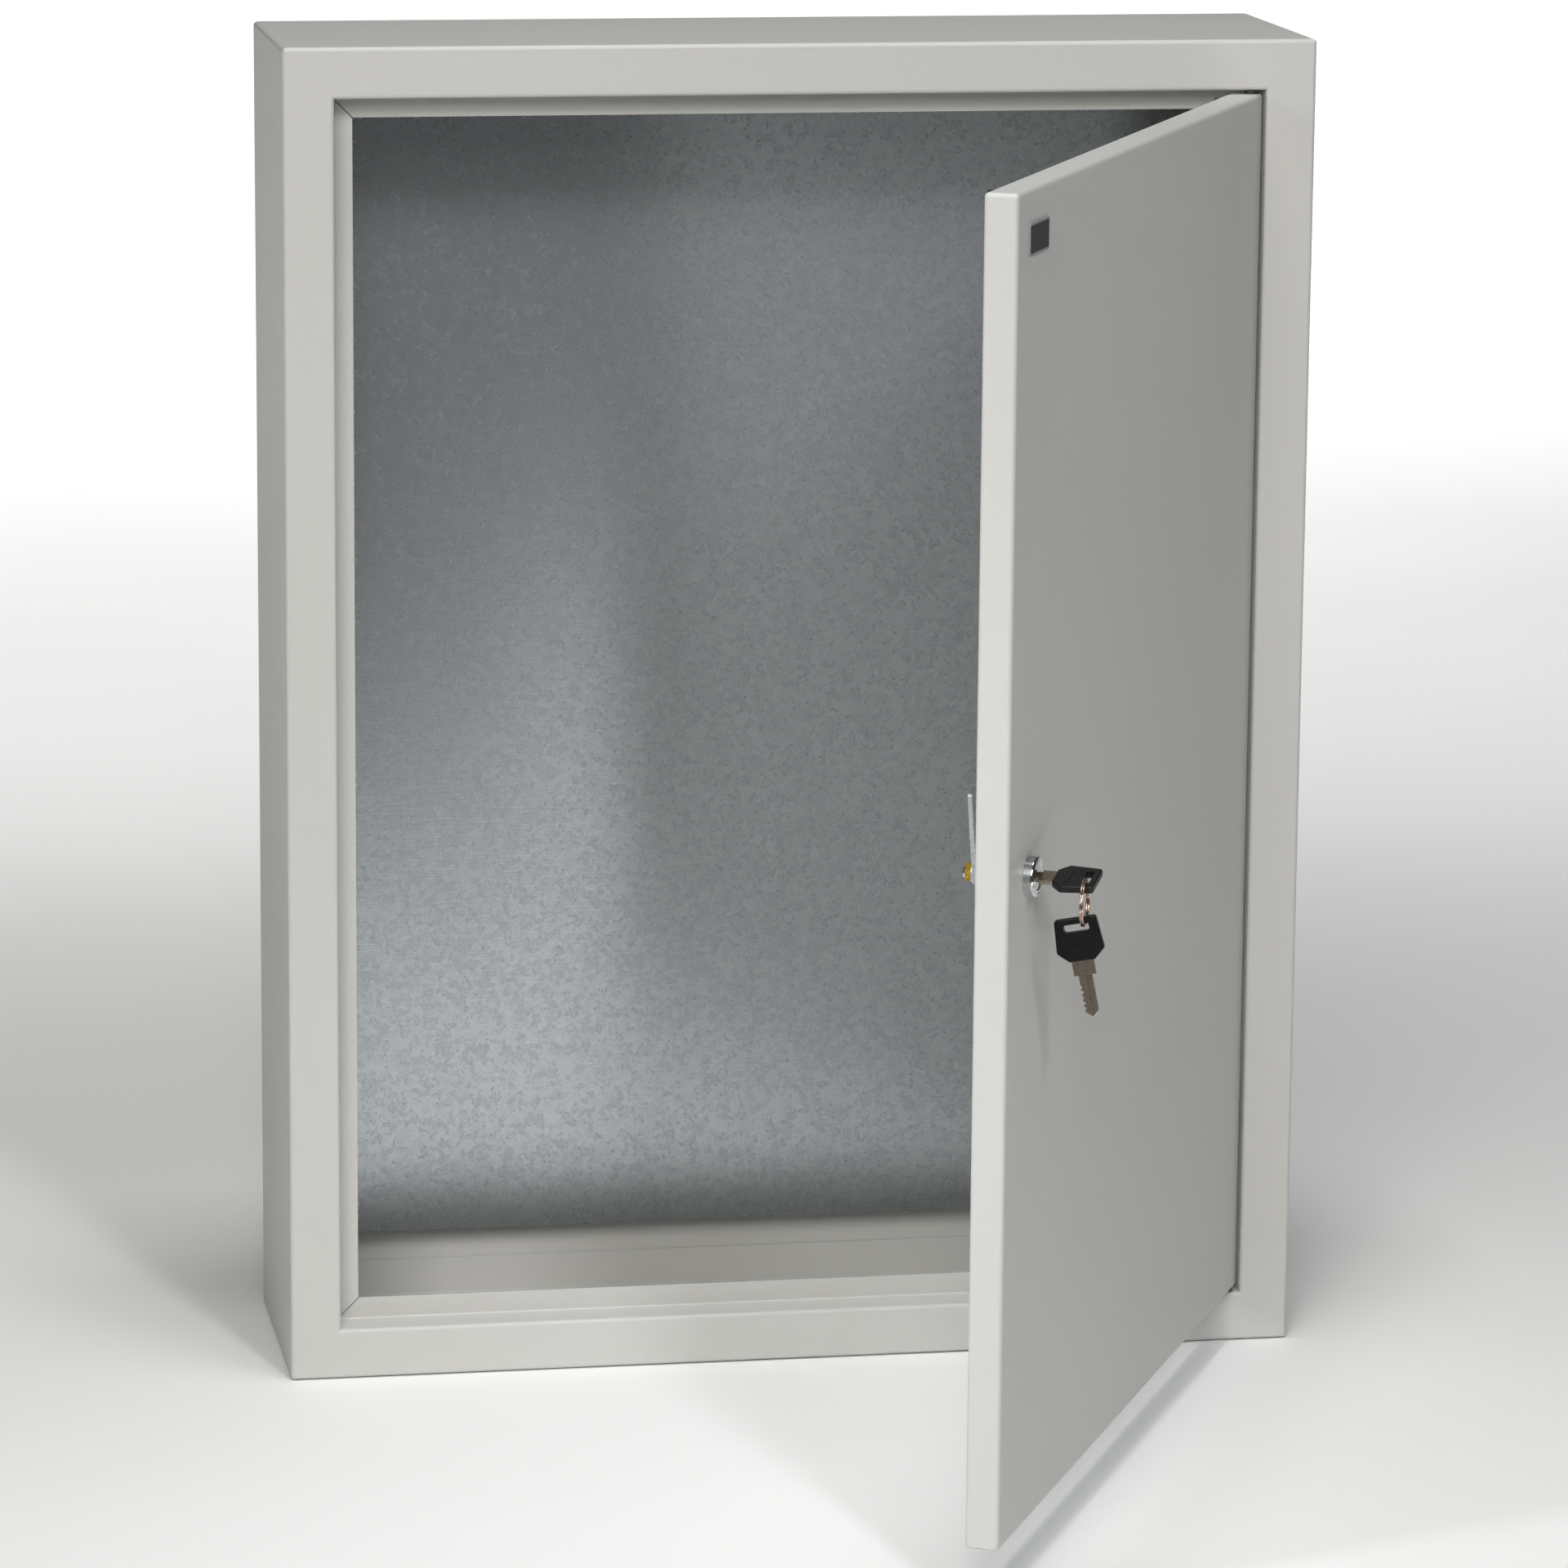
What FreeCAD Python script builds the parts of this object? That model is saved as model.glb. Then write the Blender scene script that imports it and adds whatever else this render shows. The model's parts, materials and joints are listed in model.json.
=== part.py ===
import FreeCAD, Part
import math
import os

from FreeCAD import Vector

# Lockable wall cabinet, in millimetres.
# Origin: centre of the outer back face. +X right, +Y into the wall, +Z up, seen from the front.
# The door stands open and the key hangs in its lock, as the cabinet is stored.

# ---------------------------------------------------------------- cabinet shell
WIDTH = 500.0
HEIGHT = 650.0
DEPTH = 140.0
SHEET = 1.2
BEND_R = 2.0            # outer radius of every bend
CORNER_R = 2.5          # the shell's four welded corners
BORDER = 24.5           # frame face beside the door
REBATE = 19.0           # depth of the step that the door drops into
LIP = 10.5              # width of the lip behind the door's edge
REAR_FLANGE = 20.0      # flange that the back is welded to
MITRE_REACH = 45.0      # how far in the corner mitres are cut
EDGE_INSET = 1.0        # back panel, in from the shell's outside
SEAM = 0.6              # open mitre seams in the lip and in the door's rear flange

# ---------------------------------------------------------------- door
DOOR_GAP = 2.0
DOOR_THICK = 15.3
DOOR_FLANGE = 12.0
HINGE_INSET = 4.5       # hinge axis, in from the door's hinge edge
HINGE_DEPTH = 4.6       # hinge axis, behind the door's face
DOOR_ANGLE = 62.7       # how far the door stands open

PIN_R = 2.0
PIN_CLEARANCE = 0.05
PIN_LENGTH = 12.5       # below the inside of the frame
PIN_HEAD_R = 2.5
PIN_HEAD_HEIGHT = 1.5
HINGE_WASHER_R = 3.5
HINGE_WASHER_THICK = 1.9
HINGE_BLOCK = (14.3, 11.8, 12.3)
HINGE_BORE_DEPTH = 10.8

BUFFER_R = 3.5
BUFFER_HEIGHT = 3.5
BUFFER_FROM_SIDE = 20.0
BUFFER_FROM_END = 4.5

BADGE_SIZE = (31.0, 14.0, 0.8)
BADGE_FROM_EDGE = 17.0
BADGE_BOTTOM = 270.0
BADGE_CORNER_R = 1.5

# ---------------------------------------------------------------- mounting plate and fixings
PLATE_SIZE = (450.0, 572.0, 1.5)
PLATE_STANDOFF = 13.8   # from the inside of the back
STUD_R = 3.0
STUD_SPACING = (424.0, 524.0)
STUD_LENGTH = 24.8
STUD_HOLE_R = 3.3
SPACER_R = 6.0
WASHER_R = 6.5
WASHER_THICK = 1.5
NUT_FLATS = 10.0
NUT_THICK = 5.0
NUT_CROWN = 0.97        # turned corners of a nut, over its distance across corners
WALL_HOLE_R = 4.25
WALL_HOLE_SPACING = (440.0, 600.0)
EARTH_STUD_LENGTH = 20.0
EARTH_STUD_PLACE = (170.0, -298.0)
DOOR_EARTH_LENGTH = 16.0
DOOR_EARTH_PLACE = (185.0, -265.0)
EARTH_WASHER_THICK = 1.2

# ---------------------------------------------------------------- cam lock
LOCK_FROM_EDGE = 31.5
LOCK_DROP = 1.5         # below the door's middle
LOCK_TURN = 76.0        # key and cam, clockwise from locked
HEAD_R = 9.0
HEAD_HEIGHT = 5.0
HEAD_ROUND = 1.2
BARREL_R = 7.0
BARREL_FLATS = 12.4
BARREL_END = 20.3       # behind the door's face
PLUG_R = 5.45
PLUG_CLEARANCE = 0.05
PLUG_RECESS = 0.4
CAM_FRONT = 21.3
CAM_THICK = 2.0
CAM_WIDTH = 11.5
CAM_LENGTH = 40.0       # pivot to tip
CAM_TIP_R = 1.5
CAM_SQUARE = 6.0
CAM_WASHER_R = 5.0
CAM_WASHER_THICK = 1.0
CAM_NUT_FLATS = 8.0
CAM_NUT_THICK = 3.0
CAM_STUD_R = 2.5
CAM_STUD_END = 28.4
LOCK_NUT_FLATS = 19.0
LOCK_NUT_THICK = 4.0
WAFER_COUNT = 5
WAFER_PITCH = 2.4
WAFER_FIRST = -1.4
WAFER_SIZE = (4.6, 1.0, 9.2)
WAFER_WINDOW = (2.8, 6.8)
WAFER_PLAY = 0.15

# ---------------------------------------------------------------- keys and ring
BLADE_THICK = 2.0
BLADE_WIDTH = 5.9
BLADE_LENGTH = 18.6
KEYWAY_PLAY = 0.2
KEY_STANDOFF = 1.4      # shoulder to plug
SHOULDER_WIDTH = 9.7
SHOULDER_LENGTH = 6.4
TIP_LENGTH = 2.6
NOTCH_HALF = 0.9
NOTCH_DEPTHS = (0.8, 1.4, 0.6, 1.2, 0.9)
GROOVE_WIDTH = 1.1
GROOVE_DEPTH = 0.4
GROOVE_Z = -0.9
TANG_LENGTH = 6.0
TANG_WIDTH = 7.0
BOW_LENGTH = 19.2
BOW_THICK = 3.2
BOW_END_WIDTH = 18.6
BOW_MAX_WIDTH = 21.2
BOW_NECK_WIDTH = 11.4
BOW_SHOULDER = 4.4      # length of the chamfers beside the blade
BOW_ROUND = 0.6
BOW_NECK_R = 0.6
BOW_CORNER_R = 1.5
SLOT_LENGTH = 11.3
SLOT_WIDTH = 3.5
SLOT_FROM_END = 2.7
SLOT_CORNER_R = 1.2
RIB_SIZE = (0.25, 1.2, 12.0)
RING_INNER_R = 9.2
RING_WIRE = 1.1         # across the ring's radius
RING_WIDTH = 1.8        # two turns, side by side
RING_ROUND = 0.37
RING_YAW = 6.0
RING_SHIFT = 0.45       # out from the slot's centre line
RING_DROP = 6.6         # ring centre, below the first key's slot end
SPARE_DROP = 7.0        # spare key's end bar, below the ring's centre
SPARE_TILT = 11.5
SPARE_OFF_CENTRE = 3.9

# ---------------------------------------------------------------- worked out from the above
UP = Vector(0, 0, 1)
INWARD = Vector(0, 1, 0)
ORIGIN = Vector(0, 0, 0)
SAME_POINT = 1e-6
FRONT = -DEPTH
HALF_WIDTH = WIDTH / 2
HALF_HEIGHT = HEIGHT / 2
OPENING_X = HALF_WIDTH - BORDER
OPENING_Z = HALF_HEIGHT - BORDER
DOOR_X = OPENING_X - DOOR_GAP
DOOR_Z = OPENING_Z - DOOR_GAP
DOOR_BACK = FRONT + DOOR_THICK
DOOR_INSIDE = FRONT + SHEET
HINGE = Vector(DOOR_X - HINGE_INSET, FRONT + HINGE_DEPTH, 0)
BACK_INSIDE = -SHEET
PLATE_BACK = BACK_INSIDE - PLATE_STANDOFF
PLATE_FRONT = PLATE_BACK - PLATE_SIZE[2]
LOCK = Vector(-DOOR_X + LOCK_FROM_EDGE, FRONT, -LOCK_DROP)
PLUG_FACE = -HEAD_HEIGHT + PLUG_RECESS
BLADE_START = PLUG_FACE - KEY_STANDOFF
BOW_START = BLADE_START - SHOULDER_LENGTH
BOW_END = BOW_START - BOW_LENGTH
SLOT_CENTRE = BOW_END + SLOT_FROM_END + SLOT_WIDTH / 2


# ---------------------------------------------------------------- small shape helpers
def block(low, high):
    """Box between two corners."""
    size = Vector(*high) - Vector(*low)
    return Part.makeBox(size.x, size.y, size.z, Vector(*low))


def rod(start, axis, length, radius):
    """Round bar from a point along an axis."""
    return Part.makeCylinder(radius, length, start, axis)


def tube(start, axis, length, outer, inner):
    """Round bar with a through hole."""
    return rod(start, axis, length, outer).cut(rod(start, axis, length, inner))


def hexagon(start, axis, length, flats, bore):
    """Hexagonal nut along an axis, with a through hole."""
    radius = flats / math.sqrt(3)
    corners = [
        Vector(radius * math.cos(math.radians(60 * side)), radius * math.sin(math.radians(60 * side)), 0)
        for side in range(7)
    ]
    nut = Part.Face(Part.makePolygon(corners)).extrude(Vector(0, 0, length))
    nut.Placement = FreeCAD.Placement(start, FreeCAD.Rotation(UP, axis))
    crown = rod(start, axis, length, radius * NUT_CROWN)
    return nut.common(crown).cut(rod(start, axis, length, bore))


def rounded_face(corners, radii):
    """Flat face with straight sides and a tangent arc of its own radius at each corner."""
    arrivals = []
    departures = []
    middles = []
    for index, corner in enumerate(corners):
        before = (corners[index - 1] - corner).normalize()
        after = (corners[(index + 1) % len(corners)] - corner).normalize()
        half_angle = before.getAngle(after) / 2
        radius = radii[index]
        arrivals.append(corner + before * (radius / math.tan(half_angle)))
        departures.append(corner + after * (radius / math.tan(half_angle)))
        bisector = (before + after).normalize()
        middles.append(corner + bisector * (radius / math.sin(half_angle) - radius))
    edges = []
    for index, radius in enumerate(radii):
        start = departures[index - 1]
        if start.distanceToPoint(arrivals[index]) > SAME_POINT:
            edges.append(Part.LineSegment(start, arrivals[index]).toShape())
        if radius > 0:
            edges.append(Part.Arc(arrivals[index], middles[index], departures[index]).toShape())
    return Part.Face(Part.Wire(edges))


def bent_sheet_face(path):
    """Section of a sheet of one thickness, folded square along a path, on the path's left."""
    normals = []
    for start, end in zip(path, path[1:]):
        along = (end - start).normalize()
        normals.append(Vector(-along.y, along.x, 0))
    skin = []
    skin_radii = []
    inside = []
    inside_radii = []
    for index, point in enumerate(path):
        before = normals[max(index - 1, 0)]
        after = normals[min(index, len(normals) - 1)]
        is_end = index in (0, len(path) - 1)
        shift = before if is_end else before + after
        turns_left = before.cross(after).z > 0
        skin.append(point)
        inside.append(point + shift * SHEET)
        if is_end:
            skin_radii.append(0)
            inside_radii.append(0)
        elif turns_left:
            skin_radii.append(BEND_R)
            inside_radii.append(BEND_R - SHEET)
        else:
            skin_radii.append(BEND_R - SHEET)
            inside_radii.append(BEND_R)
    return rounded_face(skin + inside[::-1], skin_radii + inside_radii[::-1])


def four_corners(spacing):
    """The four places of a rectangular pattern, as (x, z)."""
    return [(x * spacing[0] / 2, z * spacing[1] / 2) for x in (-1, 1) for z in (-1, 1)]


def opened(shape):
    """A door piece, swung from closed to where the door stands."""
    swung = shape.copy()
    swung.rotate(HINGE, UP, DOOR_ANGLE)
    return swung


def unlocked(shape):
    """A plug or key piece, turned from locked and swung with the door."""
    turned = shape.copy()
    turned.rotate(LOCK, INWARD, LOCK_TURN)
    return opened(turned)


def at_lock(depth):
    """The point on the lock's axis at a depth behind the door's face."""
    return LOCK + INWARD * depth


# ---------------------------------------------------------------- cabinet shell
def shell_envelope():
    """The shell's outside, with its four corners rounded."""
    corners = [
        Vector(-HALF_WIDTH, 0, -HALF_HEIGHT),
        Vector(HALF_WIDTH, 0, -HALF_HEIGHT),
        Vector(HALF_WIDTH, 0, HALF_HEIGHT),
        Vector(-HALF_WIDTH, 0, HALF_HEIGHT),
    ]
    return rounded_face(corners, [CORNER_R] * 4).extrude(Vector(0, -DEPTH, 0))


def lip_seam(half, length, end):
    """Open seam along one mitre of the lip, from its bend to past its edge; end is +1 at the top."""
    start = (BORDER + BEND_R) * math.sqrt(2)
    reach = (BORDER + LIP + SHEET) * math.sqrt(2)
    lip = FRONT + REBATE
    seam = block((start, lip - SHEET, -SEAM / 2), (reach, lip + 2 * SHEET, SEAM / 2))
    seam.rotate(ORIGIN, INWARD, 45 * end)
    seam.translate(Vector(-half, 0, end * length / 2))
    return seam


def side_wall(half, length, turn):
    """One side sheet: rear flange, wall, border, rebate and lip, mitred at both ends."""
    path = [
        Vector(REAR_FLANGE, BACK_INSIDE, 0),
        Vector(0, BACK_INSIDE, 0),
        Vector(0, FRONT, 0),
        Vector(BORDER, FRONT, 0),
        Vector(BORDER, FRONT + REBATE, 0),
        Vector(BORDER + LIP, FRONT + REBATE, 0),
    ]
    section = bent_sheet_face(path)
    section.translate(Vector(-half, 0, -length / 2))
    wall = section.extrude(UP * length)
    inner = half - MITRE_REACH
    shorter = length / 2 - MITRE_REACH
    mitre = Part.Face(Part.makePolygon([
        Vector(-half, 0, -length / 2),
        Vector(-inner, 0, -shorter),
        Vector(-inner, 0, shorter),
        Vector(-half, 0, length / 2),
        Vector(-half, 0, -length / 2),
    ])).extrude(Vector(0, -DEPTH, 0))
    wall = wall.common(mitre)
    for end in (-1, 1):
        wall = wall.cut(lip_seam(half, length, end))
    wall.rotate(ORIGIN, INWARD, turn)
    return wall.common(shell_envelope())


def top_panel():
    """Top sheet; only its rebate wall is drilled."""
    hole = rod(HINGE + UP * (OPENING_Z - SHEET), UP, 3 * SHEET, PIN_R)
    return side_wall(HALF_HEIGHT, WIDTH, 90).cut(hole)


def bottom_panel():
    """Bottom sheet; only its rebate wall is drilled."""
    hole = rod(HINGE - UP * (OPENING_Z - SHEET), -UP, 3 * SHEET, PIN_R)
    return side_wall(HALF_HEIGHT, WIDTH, 270).cut(hole)


def back_panel():
    """Flat back with the four wall fixing holes."""
    x = HALF_WIDTH - EDGE_INSET
    z = HALF_HEIGHT - EDGE_INSET
    back = block((-x, BACK_INSIDE, -z), (x, 0, z))
    for hole_x, hole_z in four_corners(WALL_HOLE_SPACING):
        back = back.cut(rod(Vector(hole_x, BACK_INSIDE, hole_z), INWARD, SHEET, WALL_HOLE_R))
    return back


# ---------------------------------------------------------------- mounting plate
def mounting_plate():
    """Plain galvanised plate, held off the back on four studs."""
    x = PLATE_SIZE[0] / 2
    z = PLATE_SIZE[1] / 2
    plate = block((-x, PLATE_FRONT, -z), (x, PLATE_BACK, z))
    for hole_x, hole_z in four_corners(STUD_SPACING):
        start = Vector(hole_x, PLATE_FRONT, hole_z)
        plate = plate.cut(rod(start, INWARD, PLATE_SIZE[2], STUD_HOLE_R))
    return plate


def at_studs(make):
    """One solid made at each of the four stud places, grouped."""
    return Part.makeCompound([make(Vector(x, 0, z)) for x, z in four_corners(STUD_SPACING)])


def plate_stud(place):
    """Stud welded to the inside of the back."""
    return rod(place + INWARD * BACK_INSIDE, -INWARD, STUD_LENGTH, STUD_R)


def plate_spacer(place):
    """Sleeve that holds the plate off the back."""
    return tube(place + INWARD * BACK_INSIDE, -INWARD, PLATE_STANDOFF, SPACER_R, STUD_R)


def plate_washer(place):
    """Flat washer in front of the plate."""
    return tube(place + INWARD * PLATE_FRONT, -INWARD, WASHER_THICK, WASHER_R, STUD_R)


def plate_nut(place):
    """Nut in front of the washer."""
    start = place + INWARD * (PLATE_FRONT - WASHER_THICK)
    return hexagon(start, -INWARD, NUT_THICK, NUT_FLATS, STUD_R)


# ---------------------------------------------------------------- earthing
def earth_stud():
    """Earth stud on the back, under the mounting plate."""
    place = Vector(EARTH_STUD_PLACE[0], BACK_INSIDE, EARTH_STUD_PLACE[1])
    return rod(place, -INWARD, EARTH_STUD_LENGTH, STUD_R)


def earth_nut():
    """Flange nut on the earth stud."""
    place = Vector(EARTH_STUD_PLACE[0], BACK_INSIDE - EARTH_WASHER_THICK, EARTH_STUD_PLACE[1])
    return hexagon(place, -INWARD, NUT_THICK, NUT_FLATS, STUD_R)


def earth_washer():
    """Contact washer under the earth nut."""
    place = Vector(EARTH_STUD_PLACE[0], BACK_INSIDE, EARTH_STUD_PLACE[1])
    return tube(place, -INWARD, EARTH_WASHER_THICK, WASHER_R, STUD_R)


def door_earth_stud():
    """Earth stud welded inside the door."""
    place = Vector(DOOR_EARTH_PLACE[0], DOOR_INSIDE, DOOR_EARTH_PLACE[1])
    return rod(place, INWARD, DOOR_EARTH_LENGTH, STUD_R)


def door_earth_nut():
    """Nut on the door's earth stud."""
    place = Vector(DOOR_EARTH_PLACE[0], DOOR_INSIDE, DOOR_EARTH_PLACE[1])
    return hexagon(place, INWARD, NUT_THICK, NUT_FLATS, STUD_R)


# ---------------------------------------------------------------- hinges
def hinge_pin(side):
    """Headed pin through the frame's rebate; side is +1 at the top and -1 at the bottom."""
    axis = UP * -side
    seat = HINGE + UP * side * (OPENING_Z + SHEET)
    shank = rod(seat, axis, SHEET + PIN_LENGTH, PIN_R)
    head = rod(seat, UP * side, PIN_HEAD_HEIGHT, PIN_HEAD_R)
    return shank.fuse(head).removeSplitter()


def hinge_washer(side):
    """Nylon washer in the gap between the frame and the door."""
    seat = HINGE + UP * side * OPENING_Z
    return tube(seat, UP * -side, HINGE_WASHER_THICK, HINGE_WASHER_R, PIN_R)


def hinge_block(side):
    """Steel block welded in the door's corner, bored for the pin."""
    x = DOOR_X - SHEET
    z = DOOR_Z - SHEET
    near = min(side * z, side * (z - HINGE_BLOCK[2]))
    low = (x - HINGE_BLOCK[0], DOOR_INSIDE, near)
    high = (x, DOOR_INSIDE + HINGE_BLOCK[1], near + HINGE_BLOCK[2])
    bore = rod(HINGE + UP * side * z, UP * -side, HINGE_BORE_DEPTH, PIN_R + PIN_CLEARANCE)
    return block(low, high).common(door_hollow()).cut(bore)


# ---------------------------------------------------------------- door
def door_hollow():
    """The space inside the door pan."""
    x = DOOR_X - SHEET
    z = DOOR_Z - SHEET
    hollow = block((-x, DOOR_INSIDE, -z), (x, DOOR_BACK - SHEET, z))
    return hollow.makeFillet(BEND_R - SHEET, hollow.Edges)


def door_panel():
    """Door pan: face, four returns and a narrow flange all round behind."""
    pan = block((-DOOR_X, FRONT, -DOOR_Z), (DOOR_X, DOOR_BACK, DOOR_Z))
    pan = pan.makeFillet(BEND_R, pan.Edges)
    x = DOOR_X - DOOR_FLANGE
    z = DOOR_Z - DOOR_FLANGE
    mouth = block((-x, DOOR_INSIDE + SHEET, -z), (x, DOOR_BACK, z))
    pan = pan.cut(door_hollow()).cut(mouth)
    pan = pan.cut(rod(at_lock(0), INWARD, SHEET, BARREL_R))
    for side in (-1, 1):
        start = HINGE + UP * side * (DOOR_Z - SHEET)
        pan = pan.cut(rod(start, UP * side, SHEET, PIN_R + PIN_CLEARANCE))
    for corner_x in (-1, 1):
        for corner_z in (-1, 1):
            pan = pan.cut(flange_seam(corner_x, corner_z))
    return pan


def flange_seam(corner_x, corner_z):
    """Diagonal seam across one corner of the rear flange, from inside the mouth to the bends."""
    reach = (DOOR_FLANGE - BEND_R) * math.sqrt(2) - SEAM
    seam = block((-SHEET, DOOR_BACK - SHEET, -SEAM / 2), (reach, DOOR_BACK, SEAM / 2))
    seam.rotate(ORIGIN, INWARD, -math.degrees(math.atan2(corner_z, corner_x)))
    seam.translate(Vector(corner_x * (DOOR_X - DOOR_FLANGE), 0, corner_z * (DOOR_Z - DOOR_FLANGE)))
    return seam


def door_buffers():
    """Rubber buffers on the rear flange, near the door's corners."""
    x = DOOR_X - BUFFER_FROM_SIDE
    z = DOOR_Z - BUFFER_FROM_END
    places = [Vector(side_x * x, DOOR_BACK, side_z * z) for side_x in (-1, 1) for side_z in (-1, 1)]
    return Part.makeCompound([rod(place, INWARD, BUFFER_HEIGHT, BUFFER_R) for place in places])


def door_badge():
    """Plain maker's-plate blank in the door's upper corner."""
    left = -DOOR_X + BADGE_FROM_EDGE
    right = left + BADGE_SIZE[0]
    top = BADGE_BOTTOM + BADGE_SIZE[1]
    corners = [
        Vector(left, FRONT, BADGE_BOTTOM),
        Vector(right, FRONT, BADGE_BOTTOM),
        Vector(right, FRONT, top),
        Vector(left, FRONT, top),
    ]
    return rounded_face(corners, [BADGE_CORNER_R] * 4).extrude(INWARD * -BADGE_SIZE[2])


# ---------------------------------------------------------------- cam lock
def lock_body():
    """Chromed head and flatted barrel, bored for the plug."""
    head = rod(at_lock(-HEAD_HEIGHT), INWARD, HEAD_HEIGHT, HEAD_R)
    rim = [edge for edge in head.Edges if edge.BoundBox.YMax < FRONT - HEAD_HEIGHT / 2]
    head = head.makeFillet(HEAD_ROUND, rim)
    barrel = rod(at_lock(0), INWARD, BARREL_END, BARREL_R)
    half = BARREL_FLATS / 2
    flats = block(
        (LOCK.x - half, DOOR_INSIDE, LOCK.z - BARREL_R),
        (LOCK.x + half, FRONT + BARREL_END, LOCK.z + BARREL_R),
    )
    barrel = barrel.common(flats.fuse(rod(at_lock(0), INWARD, SHEET, BARREL_R)))
    bore = rod(at_lock(-HEAD_HEIGHT), INWARD, HEAD_HEIGHT + BARREL_END, PLUG_R + PLUG_CLEARANCE)
    return head.fuse(barrel).removeSplitter().cut(bore)


def lock_nut():
    """Nut that clamps the lock to the door."""
    return hexagon(at_lock(SHEET), INWARD, LOCK_NUT_THICK, LOCK_NUT_FLATS, BARREL_R)


def keyed_slot(width, height, start, end):
    """Rectangular slot along the lock's axis, upright when locked."""
    return block(
        (LOCK.x - width / 2, FRONT + start, LOCK.z - height / 2),
        (LOCK.x + width / 2, FRONT + end, LOCK.z + height / 2),
    )


def wafer_start(index):
    """Depth of one wafer's front face."""
    return WAFER_FIRST + index * WAFER_PITCH


def lock_plug():
    """Plug with keyway, wafer slots, cam square and threaded end."""
    plug = rod(at_lock(PLUG_FACE), INWARD, CAM_FRONT - PLUG_FACE, PLUG_R)
    square = keyed_slot(CAM_SQUARE, CAM_SQUARE, CAM_FRONT, CAM_FRONT + CAM_THICK)
    stud_start = CAM_FRONT + CAM_THICK
    stud = rod(at_lock(stud_start), INWARD, CAM_STUD_END - stud_start, CAM_STUD_R)
    plug = plug.fuse(square).fuse(stud).removeSplitter()
    keyway_end = BLADE_START + BLADE_LENGTH + 2 * KEYWAY_PLAY
    keyway = keyed_slot(
        BLADE_THICK + 2 * KEYWAY_PLAY, BLADE_WIDTH + 2 * KEYWAY_PLAY, PLUG_FACE, keyway_end
    )
    plug = plug.cut(keyway)
    half_width = WAFER_SIZE[0] / 2 + WAFER_PLAY
    bottom = LOCK.z - WAFER_SIZE[2] / 2 - WAFER_PLAY
    top = LOCK.z + PLUG_R
    for index in range(WAFER_COUNT):
        start = FRONT + wafer_start(index) - WAFER_PLAY
        end = start + WAFER_SIZE[1] + 2 * WAFER_PLAY
        slot = block((LOCK.x - half_width, start, bottom), (LOCK.x + half_width, end, top))
        plug = plug.cut(slot)
    return plug


def tumbler_wafers():
    """Five thin wafers, each with a window that the blade passes through."""
    wafers = []
    for index in range(WAFER_COUNT):
        start = wafer_start(index)
        end = start + WAFER_SIZE[1]
        wafer = keyed_slot(WAFER_SIZE[0], WAFER_SIZE[2], start, end)
        wafers.append(wafer.cut(keyed_slot(WAFER_WINDOW[0], WAFER_WINDOW[1], start, end)))
    return Part.makeCompound(wafers)


def cam():
    """Cam strip: round at the pivot, square at the tip, pointing to the free edge when locked."""
    half = CAM_WIDTH / 2
    y = FRONT + CAM_FRONT
    corners = [
        Vector(LOCK.x - CAM_LENGTH, y, LOCK.z - half),
        Vector(LOCK.x + half, y, LOCK.z - half),
        Vector(LOCK.x + half, y, LOCK.z + half),
        Vector(LOCK.x - CAM_LENGTH, y, LOCK.z + half),
    ]
    strip = rounded_face(corners, [CAM_TIP_R, half, half, CAM_TIP_R]).extrude(INWARD * CAM_THICK)
    return strip.cut(keyed_slot(CAM_SQUARE, CAM_SQUARE, CAM_FRONT, CAM_FRONT + CAM_THICK))


def cam_washer():
    """Washer behind the cam."""
    return tube(at_lock(CAM_FRONT + CAM_THICK), INWARD, CAM_WASHER_THICK, CAM_WASHER_R, CAM_STUD_R)


def cam_nut():
    """Brass nut that holds the cam."""
    start = at_lock(CAM_FRONT + CAM_THICK + CAM_WASHER_THICK)
    return hexagon(start, INWARD, CAM_NUT_THICK, CAM_NUT_FLATS, CAM_STUD_R)


# ---------------------------------------------------------------- keys
def key_outline(points):
    """Points given as (depth, height), in the upright plane through the lock's axis."""
    return [Vector(LOCK.x, FRONT + depth, LOCK.z + height) for depth, height in points]


def thick(face, thickness):
    """A face in the key's plane, thickened evenly to both sides."""
    centred = face.copy()
    centred.translate(Vector(-thickness / 2, 0, 0))
    return centred.extrude(Vector(thickness, 0, 0))


def key_tang():
    """The blade's root, moulded into the bow."""
    return keyed_slot(BLADE_THICK, TANG_WIDTH, BOW_START - TANG_LENGTH, BOW_START)


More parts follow.
